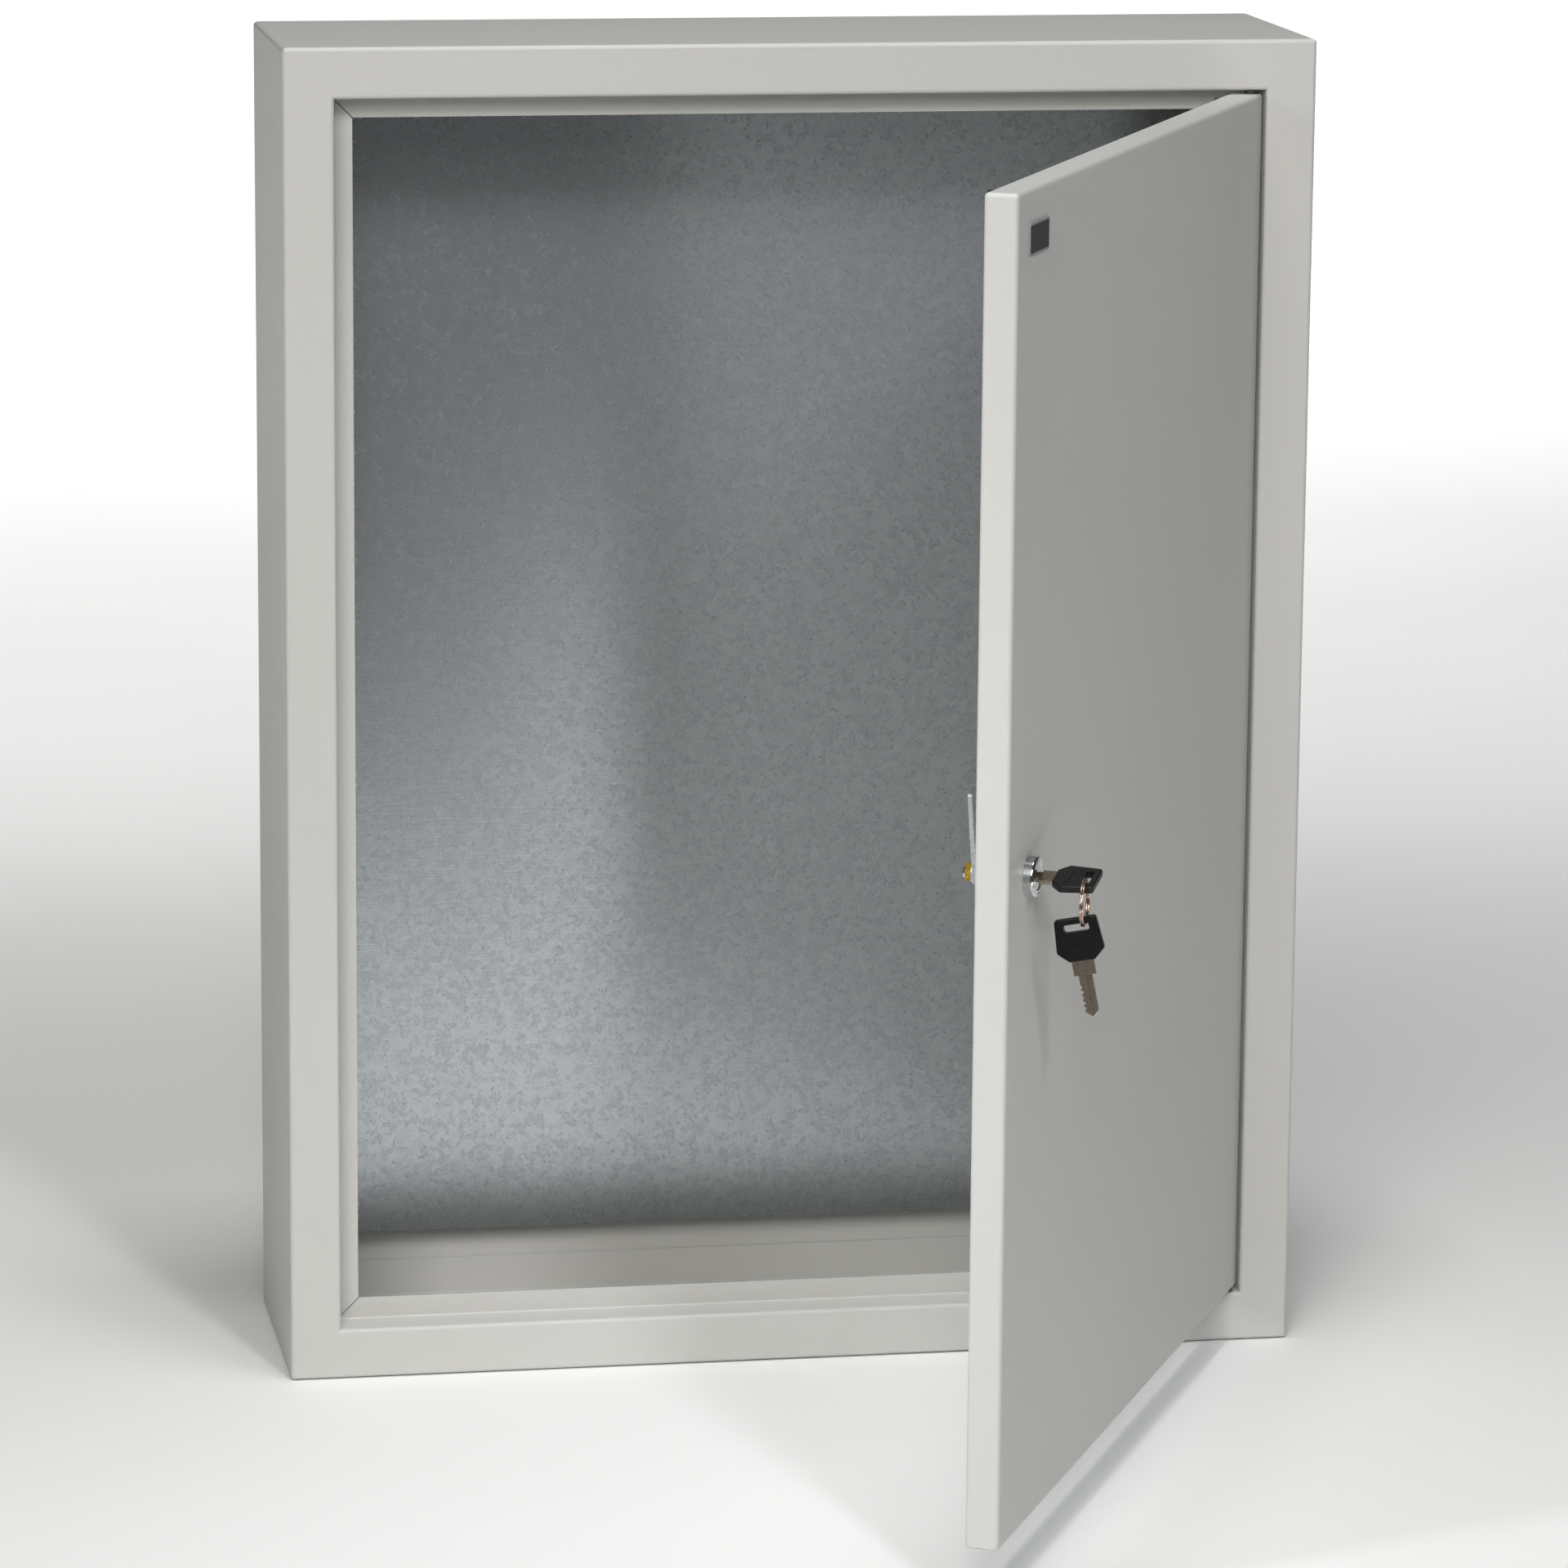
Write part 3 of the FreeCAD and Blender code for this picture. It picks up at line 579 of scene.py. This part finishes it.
@dataclass(frozen=True)
class PlainMetal:
    """A plated or turned metal with a fine grain in its colour and gloss.

    Attributes:
        name: The material's name.
        light: Colour at its brightest; on the copper wire, a painted highlight.
        dark: Colour where it is dull or worn; on the copper wire and the nickel, painted shade.
        gloss: Roughness where it is brightest.
        dull: Roughness where it is dull.
        grain_mm: Width of the marks left by its making.
        relief: Strength of the marks as bumps.
        relief_mm: Their height.
        dark_at: Pattern value at which it is darkest.
        light_at: Pattern value at which it is brightest.
    """

    name: str
    light: str
    dark: str
    gloss: float
    dull: float
    grain_mm: float
    relief: float
    relief_mm: float = 0.05
    dark_at: float = 0.35
    light_at: float = 0.6

    def build(self) -> bpy.types.Material:
        """Builds the finish from its nodes.

        Returns:
            The material.
        """
        material, tree, place = start_material(self.name)
        grain = add(tree, "ShaderNodeTexNoise",
                    {"Vector": place, "Scale": per_metre(self.grain_mm), "Detail": 4.0, "Roughness": 0.6})
        colour = add(tree, "ShaderNodeValToRGB", {"Fac": grain.outputs["Fac"]},
                     stops=((self.dark_at, self.dark), (self.light_at, self.light)))
        gloss = add(tree, "ShaderNodeMapRange", middle_to(grain.outputs["Fac"], self.dull, self.gloss))
        bump = add(tree, "ShaderNodeBump", {
            "Height": grain.outputs["Fac"],
            "Strength": self.relief,
            "Distance": self.relief_mm * MM,
        })
        surface = add(tree, "ShaderNodeBsdfPrincipled", {
            "Base Color": colour.outputs["Color"],
            "Metallic": 1.0,
            "Roughness": gloss.outputs["Result"],
            "Normal": bump.outputs["Normal"],
        })
        add(tree, "ShaderNodeOutputMaterial", {"Surface": surface.outputs["BSDF"]})
        return material


@dataclass(frozen=True)
class MouldedPlastic:
    """A thermoplastic or rubber with a spark-eroded mould's fine matt grain.

    Attributes:
        name: The material's name.
        light: Colour on the grain's tops.
        dark: Colour in its hollows.
        roughness: Mean roughness.
        ior: Index of refraction.
        grain_mm: Width of one grain, drawn coarser than the real tenth of a millimetre so that it shows.
        change: How far the roughness strays either way.
        relief: Strength of the grain as bumps.
        relief_mm: Its height.
    """

    name: str
    light: str
    dark: str
    roughness: float
    ior: float
    grain_mm: float = 0.5
    change: float = 0.06
    relief: float = 0.3
    relief_mm: float = 0.08

    def build(self) -> bpy.types.Material:
        """Builds the finish from its nodes.

        Returns:
            The material.
        """
        material, tree, place = start_material(self.name)
        grain = add(tree, "ShaderNodeTexNoise",
                    {"Vector": place, "Scale": per_metre(self.grain_mm), "Detail": 3.0})
        colour = add(tree, "ShaderNodeValToRGB", {"Fac": grain.outputs["Fac"]},
                     stops=((SHADES[0], self.dark), (SHADES[1], self.light)))
        smooth, rough = self.roughness - self.change, self.roughness + self.change
        gloss = add(tree, "ShaderNodeMapRange", middle_to(grain.outputs["Fac"], smooth, rough))
        bump = add(tree, "ShaderNodeBump", {
            "Height": grain.outputs["Fac"],
            "Strength": self.relief,
            "Distance": self.relief_mm * MM,
        })
        surface = add(tree, "ShaderNodeBsdfPrincipled", {
            "Base Color": colour.outputs["Color"],
            "IOR": self.ior,
            "Roughness": gloss.outputs["Result"],
            "Normal": bump.outputs["Normal"],
        })
        add(tree, "ShaderNodeOutputMaterial", {"Surface": surface.outputs["BSDF"]})
        return material


class Finish(Enum):
    """Every finish on the cabinet, each with its recipe."""

    PAINT = PowderCoat()
    GALVANISED = GalvanisedSheet()
    # Bright zinc plate on pressed or turned steel: pale, faintly blue, with a soft sheen.
    ZINC = PlainMetal("bright_zinc_plate", "#C9CBCC", "#A9ACAE", 0.34, 0.48, 1.2, 0.25)
    # Polished chromium on a die-cast head: nearly a mirror, so it takes its darks from the room.
    CHROME = PlainMetal("polished_chrome", "#D4D5D6", "#C2C3C5", 0.05, 0.10, 2.0, 0.04)
    # Turned brass, left bright.
    BRASS = PlainMetal("turned_brass", "#BFA13F", "#7A6426", 0.24, 0.38, 0.8, 0.25)
    # Nickel plate over brass, milled: warm grey, with its dark colour a painted shade in random patches.
    NICKEL = PlainMetal("nickel_plated_brass", "#AAA091", "#75695B", 0.26, 0.40, 0.7, 0.3)
    # Copper-plated spring wire; its light colour is a painted highlight and its dark colour is painted
    # shade, mixed in random patches.
    COPPER_WIRE = PlainMetal("copper_plated_wire", "#D6BCAE", "#7C5A4B", 0.16, 0.32, 1.5, 0.2)
    # Black ABS, moulded with a fine matt grain.
    BLACK_ABS = MouldedPlastic("black_abs", "#090A0A", "#050505", 0.38, 1.38)
    # Nylon filled with carbon black, moulded.
    BLACK_NYLON = MouldedPlastic("black_nylon", "#2A2A2A", "#1D1D1D", 0.50, 1.53)
    # Nitrile rubber, moulded dull.
    NITRILE_RUBBER = MouldedPlastic("nitrile_rubber", "#232323", "#171717", 0.70, 1.52)


# ------------------------------------------------------------------------------------------ sub-assemblies
@dataclass
class Cabinet:
    """The folded shell with its hinge pins, washers, mounting plate and fixings.

    Attributes:
        stud_radius: Radius of the welded studs, in millimetres.
        stud_pitch: Their thread's pitch.
        paint: Nodes that are powder coated.
        zinc: Nodes that are zinc plated.
        nylon: Nodes of black nylon.
    """

    stud_radius: float = 3.0
    stud_pitch: float = 1.0
    paint: tuple[str, ...] = ("top_panel", "bottom_panel", "left_panel", "right_panel", "back_panel")
    zinc: tuple[str, ...] = (
        "plate_spacers",
        "plate_washers",
        "plate_nuts",
        "earth_washer",
        "earth_nut",
        "upper_hinge_pin",
        "lower_hinge_pin",
    )
    nylon: tuple[str, ...] = ("upper_hinge_washer", "lower_hinge_washer")

    def build(self, finishes: dict[Finish, bpy.types.Material]) -> None:
        """Dresses the shell and plate, and builds the threaded studs.

        Args:
            finishes: Finish to material.
        """
        dress(finishes[Finish.PAINT], *self.paint)
        dress(finishes[Finish.GALVANISED], "mounting_plate")
        dress(finishes[Finish.ZINC], *self.zinc)
        dress(finishes[Finish.BLACK_NYLON], *self.nylon)
        self.studs("plate_studs", "plate_stud_threads", finishes)
        self.studs("earth_stud", "earth_stud_thread", finishes)

    def studs(self, node: str, name: str, finishes: dict[Finish, bpy.types.Material]) -> None:
        """Builds the threaded studs that stand where a node's plain ones do.

        Args:
            node: The node of plain studs, one or four at the corners of its box.
            name: The new piece's name.
            finishes: Finish to material.
        """
        low, high = (np.array(corner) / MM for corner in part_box(node))
        r = self.stud_radius
        columns = sorted({round(low[0] + r, 3), round(high[0] - r, 3)})
        rows = sorted({round(low[2] + r, 3), round(high[2] - r, 3)})
        outwards = np.array([0.0, -1.0, 0.0])
        right = np.array([-1.0, 0.0, 0.0])
        places = [
            Axes(np.array([x, high[1], z]) * MM, right, outwards, np.array(VERTICAL))
            for x in columns
            for z in rows
        ]
        piece = ThreadedBar(r, high[1] - low[1], self.stud_pitch).piece(name, places)
        finished(piece, finishes[Finish.ZINC], "cabinet", "zinc", node)


@dataclass
class Door:
    """The door pan with its hinge blocks, buffers, badge and earth stud.

    Attributes:
        paint: Nodes that are powder coated.
        zinc: Nodes that are zinc plated.
        border_mm: Width of the badge's pale border.
    """

    paint: tuple[str, ...] = ("door_panel", "upper_hinge_block", "lower_hinge_block")
    zinc: tuple[str, ...] = ("door_earth_stud", "door_earth_nut")
    border_mm: float = 1.0

    def build(self, finishes: dict[Finish, bpy.types.Material]) -> None:
        """Dresses the door and builds its badge.

        Args:
            finishes: Finish to material.
        """
        dress(finishes[Finish.PAINT], *self.paint)
        dress(finishes[Finish.ZINC], *self.zinc)
        dress(finishes[Finish.NITRILE_RUBBER], "door_buffers")
        dress(self.badge_foil(), "door_badge")

    def badge_foil(self) -> bpy.types.Material:
        """Printed polyester foil on a thin plate: blank charcoal inside a narrow pale border.

        Returns:
            The material. A spot is inside where its distances from the badge's middle, along the door and
            upwards, are both less than half the badge's size less the border.
        """
        low, high = (np.array(corner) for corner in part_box("door_badge"))
        middle = (low + high) / 2
        width = float(np.hypot(*(high - low)[:2]))
        height = float((high - low)[2])
        along = unit([high[0] - low[0], high[1] - low[1], 0.0])
        material, tree, place = start_material("printed_foil")
        within = []
        for direction, length in ((along, width), (np.array(VERTICAL), height)):
            spot = add(tree, "ShaderNodeVectorMath", {0: place, 1: tuple(direction)},
                       operation="DOT_PRODUCT")
            limits = {0: spot.outputs["Value"], 1: float(middle @ direction),
                      2: length / 2 - self.border_mm * MM}
            within.append(add(tree, "ShaderNodeMath", limits, operation="COMPARE").outputs["Value"])
        inside = add(tree, "ShaderNodeMath", {0: within[0], 1: within[1]}, operation="MULTIPLY")
        colour = add(tree, "ShaderNodeValToRGB", {"Fac": inside.outputs["Value"]},
                     stops=((0.4, "#8F9394"), (0.6, "#24282B")))
        surface = add(tree, "ShaderNodeBsdfPrincipled",
                      {"Base Color": colour.outputs["Color"], "Roughness": 0.6, "IOR": 1.45})
        add(tree, "ShaderNodeOutputMaterial", {"Surface": surface.outputs["BSDF"]})
        return material


@dataclass
class CamLock:
    """The cam lock: chromed head and threaded barrel, plug, wafers, cam and nuts.

    Attributes:
        head_radius: Radius of the head, in millimetres.
        head_height: How far the head stands out of the door.
        head_round: Radius of the head's front edge.
        bore: Radius of the bore that the plug turns in.
        barrel_radius: Radius of the barrel.
        barrel_end: How far the barrel reaches behind the door's face.
        flats: Distance across the barrel's flats.
        pitch: The barrel's thread pitch.
        thread_share: The thread's depth, as a share of its pitch.
        sheet: Thickness of the door's sheet, where the barrel stays round.
        plain: How far past the sheet the thread starts.
        chamfer: Size of the chamfer at the barrel's end.
        under: Size of the chamfer under the head.
        gap: A small distance that keeps rows of the section apart.
        mouth: The head's face next to the bore, as rows of distance out from the bore and depth below it.
        edge: The face next to the rounded rim, as rows of distance in from the rim and depth below it.
        smooth_degrees: Edges sharper than this stay sharp.
        rim_points: Points over the rounded rim.
        rows_a_pitch: Rows of points in one pitch.
        steps: Points round one turn.
    """

    head_radius: float = 9.0
    head_height: float = 5.0
    head_round: float = 1.2
    bore: float = 5.5
    barrel_radius: float = 7.0
    barrel_end: float = 20.3
    flats: float = 12.4
    pitch: float = 1.0
    thread_share: float = 0.5
    sheet: float = 1.2
    plain: float = 0.3
    chamfer: float = 0.4
    under: float = 0.2
    gap: float = 0.1
    mouth: tuple[tuple[float, float], ...] = ((0.0, 0.5), (0.5, 0.0), (1.6, 0.0), (1.8, 0.25))
    edge: tuple[tuple[float, float], ...] = ((0.3, 0.25), (0.15, 0.0))
    smooth_degrees: float = 40.0
    rim_points: int = 9
    rows_a_pitch: int = 8
    steps: int = 96

    def build(self, finishes: dict[Finish, bpy.types.Material]) -> None:
        """Builds the head and barrel and dresses the rest.

        Args:
            finishes: Finish to material.
        """
        dress(finishes[Finish.CHROME], "lock_plug")
        dress(finishes[Finish.BRASS], "tumbler_wafers", "cam_nut")
        dress(finishes[Finish.ZINC], "cam", "cam_washer", "lock_nut")
        finished(self.head_and_barrel(), finishes[Finish.CHROME], "door", "chrome", "lock_body")

    def profile(self) -> np.ndarray:
        """Works out the head and barrel's closed section.

        Returns:
            Rows of (radius, depth). They run from the bore's mouth over a small step and the rounded rim,
            down the side, in under the head, along the barrel and back through the bore. The rim is a
            quarter circle.
        """
        front = -self.head_height
        flat = self.head_radius - self.head_round
        face = [[self.bore + out, front + sunk] for out, sunk in self.mouth]
        face += [[flat - inwards, front + sunk] for inwards, sunk in self.edge]
        turn = np.linspace(0, np.pi / 2, self.rim_points)
        rim = np.stack([flat + self.head_round * np.sin(turn),
                        front + self.head_round * (1 - np.cos(turn))], axis=1)
        under = [[self.head_radius, -self.under], [self.head_radius - self.under, 0.0],
                 [self.barrel_radius, 0.0]]
        depth = np.arange(self.gap, self.barrel_end - self.chamfer, self.pitch / self.rows_a_pitch)
        barrel = np.stack([np.full_like(depth, self.barrel_radius), depth], axis=1)
        end = [[self.barrel_radius - self.chamfer, self.barrel_end], [self.bore, self.barrel_end]]
        return np.concatenate([face, rim, under, barrel, end])

    def head_and_barrel(self) -> bpy.types.Object:
        """Turns the section, cuts the thread into the barrel and cuts two flats across it.

        Returns:
            The piece. The barrel's radius is less by the thread's depth, and its width is clipped at the
            flats.
        """
        profile = self.profile()
        local = lathe(profile, self.steps)
        start = self.sheet + self.plain
        end = self.barrel_end - self.chamfer
        cut = thread_depth(profile[:, 1:], turn_angles(self.steps), self.pitch, start, end)
        share = 1 - self.thread_share * self.pitch * cut / self.barrel_radius
        on_barrel = (profile[:, 1] > 0) & (profile[:, 0] > self.bore + self.gap)
        local[on_barrel, :, 0] *= share[on_barrel]
        local[on_barrel, :, 2] *= share[on_barrel]
        flatted = (profile[:, 1] > self.sheet) & on_barrel
        local[flatted, :, 0] = np.clip(local[flatted, :, 0], -self.flats / 2, self.flats / 2)
        faces = grid_faces(len(profile), self.steps, True, True)[:, ::-1]
        points = axes_at("lock_turn").place(local)
        return new_piece("lock_head_and_barrel", points, faces.tolist(), self.smooth_degrees)


@dataclass
class Keys:
    """The key in the lock, the ring and the spare key.

    Attributes:
        wire_width: The wire's size along the ring's axis, in millimetres.
        wire_height: The wire's size across it.
        turns: How many turns the wire makes.
        start_turn: Where the wire starts, as a share of a turn.
        step_turn: The turn at which it steps over to the other side.
        step_degrees: Over how much of a turn it does so.
        gap: Half the gap between the two turns, in millimetres.
        squareness: Power that turns the wire's round section into a rounded rectangle.
        steps_along: Points along the wire.
        steps_round: Points round its section.
    """

    wire_width: float = 0.86
    wire_height: float = 1.06
    turns: float = 1.96
    start_turn: float = 0.075
    step_turn: float = 0.98
    step_degrees: float = 40.0
    gap: float = 0.02
    squareness: float = 0.6
    steps_along: int = 220
    steps_round: int = 14

    def build(self, finishes: dict[Finish, bpy.types.Material]) -> None:
        """Builds the ring and dresses the keys.

        Args:
            finishes: Finish to material.
        """
        dress(finishes[Finish.NICKEL], "key_blade", "spare_key_blade")
        dress(finishes[Finish.BLACK_ABS], "key_bow", "spare_key_bow")
        finished(self.split_ring(), finishes[Finish.COPPER_WIRE], "ring", "copper_plate", "key_ring")

    def split_ring(self) -> bpy.types.Object:
        """Winds the ring: a rounded-rectangle wire that goes nearly twice round.

        Returns:
            The piece. The wire's middle goes round a circle, and its place along the axis goes from one
            side to the other by a smooth step at the first turn's end. Its section is a superellipse: sine
            and cosine raised to a power below one, with their signs kept.
        """
        turned = self.turns * np.linspace(0, 1, self.steps_along)[:, None]
        angle = 2 * np.pi * (turned + self.start_turn)
        step = np.clip((turned - self.step_turn) * 360 / self.step_degrees + 0.5, 0, 1)
        along = (self.wire_width / 2 + self.gap) * (2 * step * step * (3 - 2 * step) - 1)
        u = turn_angles(self.steps_round)
        across = self.wire_height / 2 * np.sign(np.cos(u)) * np.abs(np.cos(u)) ** self.squareness
        side = self.wire_width / 2 * np.sign(np.sin(u)) * np.abs(np.sin(u)) ** self.squareness
        low, high = (np.array(corner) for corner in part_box("key_ring"))
        radius = (high - low)[2] / MM / 2 - self.wire_height / 2 + across
        local = np.stack([radius * np.cos(angle), along + side, radius * np.sin(angle)], axis=-1)
        hinge = axes_at("ring_swing")
        ring = Axes((low + high) / 2, hinge.right, hinge.along, hinge.up)
        quads = grid_faces(self.steps_along, self.steps_round, False, True).tolist()
        last = self.steps_along * self.steps_round
        caps = [list(range(self.steps_round))[::-1], list(range(last - self.steps_round, last))]
        piece = new_piece("split_ring", ring.place(local), quads + caps)
        merge_poles(piece)
        return piece


@dataclass(frozen=True)
class Lamp:
    """One rectangular softbox.

    Attributes:
        name: The lamp's name.
        place: Where it stands, in metres.
        target: What it points at, in metres.
        size: Its width and height, in metres.
        power: Its power, in watts.
        colour: Its colour.
        spread_degrees: How wide its grid lets the light out.
    """

    name: str
    place: tuple[float, float, float]
    target: tuple[float, float, float]
    size: tuple[float, float]
    power: float
    colour: str
    spread_degrees: float = 180.0

    def build(self) -> None:
        """Makes the lamp."""
        data = bpy.data.lights.new(self.name, "AREA")
        data.shape = "RECTANGLE"
        data.size, data.size_y = self.size
        data.energy = self.power
        data.spread = math.radians(self.spread_degrees)
        data.color = linear(self.colour)[:3]
        lamp = bpy.data.objects.new(self.name, data)
        lamp.location = self.place
        aim = Vector(self.target) - Vector(self.place)
        lamp.rotation_euler = aim.to_track_quat("-Z", "Y").to_euler()
        bpy.context.scene.collection.objects.link(lamp)


FRONT = (0.0, -0.15, 0.0)
LAMPS = (
    Lamp("key_softbox", (-0.95, -2.9, 1.5), FRONT, (1.2, 1.2), 48.0, "#FFFDF8"),
    Lamp("strip_softbox", (0.5, -3.1, 2.1), FRONT, (0.3, 0.9), 31.0, "#FBFCFF"),
    # A narrow grid lights the inside of the open door, which the plate mirrors.
    Lamp("door_lamp", (-1.9, -1.15, 0.7), (0.12, -0.38, -0.05), (0.25, 0.8), 0.65, "#F4F9FF", 26.0),
    Lamp("overhead_softbox", (0.0, -0.6, 3.2), (0.0, -0.6, 0.0), (0.8, 0.8), 19.0, "#FFFFFF", 120.0),
    Lamp("near_floor_softbox", (0.0, 1.7, 2.2), (0.0, 1.7, 0.0), (3.0, 1.6), 9.0, "#FFFFFF", 40.0),
    Lamp("far_floor_softbox", (0.0, 8.7, 3.0), (0.0, 8.7, 0.0), (16.0, 12.4), 750.0, "#FFFFFF", 40.0),
    # Draws the pale upright band on the plate.
    Lamp("low_front_lamp", (0.25, -1.0, -0.3), (0.0, -0.12, 0.32), (0.4, 0.25), 0.24, "#FFFFFF", 80.0),
)


@dataclass
class Studio:
    """The floor, the lights and the camera.

    Attributes:
        eye: The camera's place, in millimetres in the row frame.
        turn: How far it is turned to the right, pitched up and rolled, in degrees.
        lens: Focal length, in millimetres.
        sensor: The sensor's width, in millimetres.
        sight: How far the camera sees, in metres.
        floor_drop: Gap between the cabinet's lowest point and the floor, in millimetres.
        floor_side: How far the floor reaches to either side, in metres.
        floor_front: Where it ends in front. The plate mirrors what lies before it, and a longer floor
            would make it too pale.
        floor_back: Where it ends behind.
        grain_mm: Width of the floor's slow colour change.
        room_light: Strength of the room's own light.
    """

    eye: tuple[float, float, float] = (-565.8, -3258.0, 624.2)
    turn: tuple[float, float, float] = (-10.141, -11.743, -0.470)
    lens: float = 152.86
    sensor: float = 36.0
    sight: float = 100.0
    floor_drop: float = 0.5
    floor_side: float = 20.0
    floor_front: float = -1.1
    floor_back: float = 30.0
    grain_mm: float = 400.0
    room_light: float = 0.08

    def build(self) -> None:
        """Makes the camera, the floor, the world and the lights."""
        self.camera()
        self.floor()
        self.world()
        for lamp in LAMPS:
            lamp.build()
        LOG.info("studio ready: %d lamps", len(LAMPS))

    def camera(self) -> None:
        """Makes the camera: yaw about Z, then pitch, then roll about its own line of sight."""
        data = bpy.data.cameras.new("camera")
        data.lens = self.lens
        data.sensor_width = self.sensor
        data.clip_end = self.sight
        camera = bpy.data.objects.new("camera", data)
        yaw, pitch, roll = (math.radians(angle) for angle in self.turn)
        turn = Matrix.Rotation(yaw, 4, "Z") @ Matrix.Rotation(math.pi / 2 + pitch, 4, "X")
        turn = turn @ Matrix.Rotation(-roll, 4, "Z")
        camera.matrix_world = Matrix.Translation(Vector(self.eye) * MM) @ turn
        bpy.context.scene.collection.objects.link(camera)
        bpy.context.scene.camera = camera

    def floor(self) -> None:
        """Makes a wide pale floor just under the cabinet."""
        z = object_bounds()[0].z - self.floor_drop * MM
        side, front, back = self.floor_side, self.floor_front, self.floor_back
        corners = np.array([[-side, front, z], [side, front, z], [side, back, z], [-side, back, z]])
        floor = new_piece("floor", corners, [[0, 1, 2, 3]])
        material, tree, place = start_material("matt_paper")
        grain = add(tree, "ShaderNodeTexNoise",
                    {"Vector": place, "Scale": per_metre(self.grain_mm), "Detail": 2.0})
        colour = add(tree, "ShaderNodeValToRGB", {"Fac": grain.outputs["Fac"]},
                     stops=((MIDDLE[0], "#F4F4F3"), (MIDDLE[1], "#F7F7F6")))
        surface = add(tree, "ShaderNodeBsdfPrincipled",
                      {"Base Color": colour.outputs["Color"], "Roughness": 0.9})
        add(tree, "ShaderNodeOutputMaterial", {"Surface": surface.outputs["BSDF"]})
        floor.data.materials.append(material)
        floor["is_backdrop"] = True

    def world(self) -> None:
        """Fills the room with soft white light."""
        world = bpy.data.worlds.new("studio")
        world.use_nodes = True
        tree = world.node_tree
        tree.nodes.clear()
        background = add(tree, "ShaderNodeBackground",
                         {"Color": linear("#F2F4F6"), "Strength": self.room_light})
        add(tree, "ShaderNodeOutputWorld", {"Surface": background.outputs["Background"]})
        bpy.context.scene.world = world
        bpy.context.scene.view_settings.view_transform = "Standard"


def main() -> None:
    """Builds the cabinet's looks in order."""
    logging.basicConfig(level=logging.INFO, format="%(name)s: %(message)s")
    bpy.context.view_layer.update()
    finishes = {finish: finish.value.build() for finish in Finish}
    for assembly in (Cabinet(), Door(), CamLock(), Keys()):
        assembly.build(finishes)
        LOG.info("%s done", type(assembly).__name__)
    Studio().build()


if __name__ == "__main__":
    main()
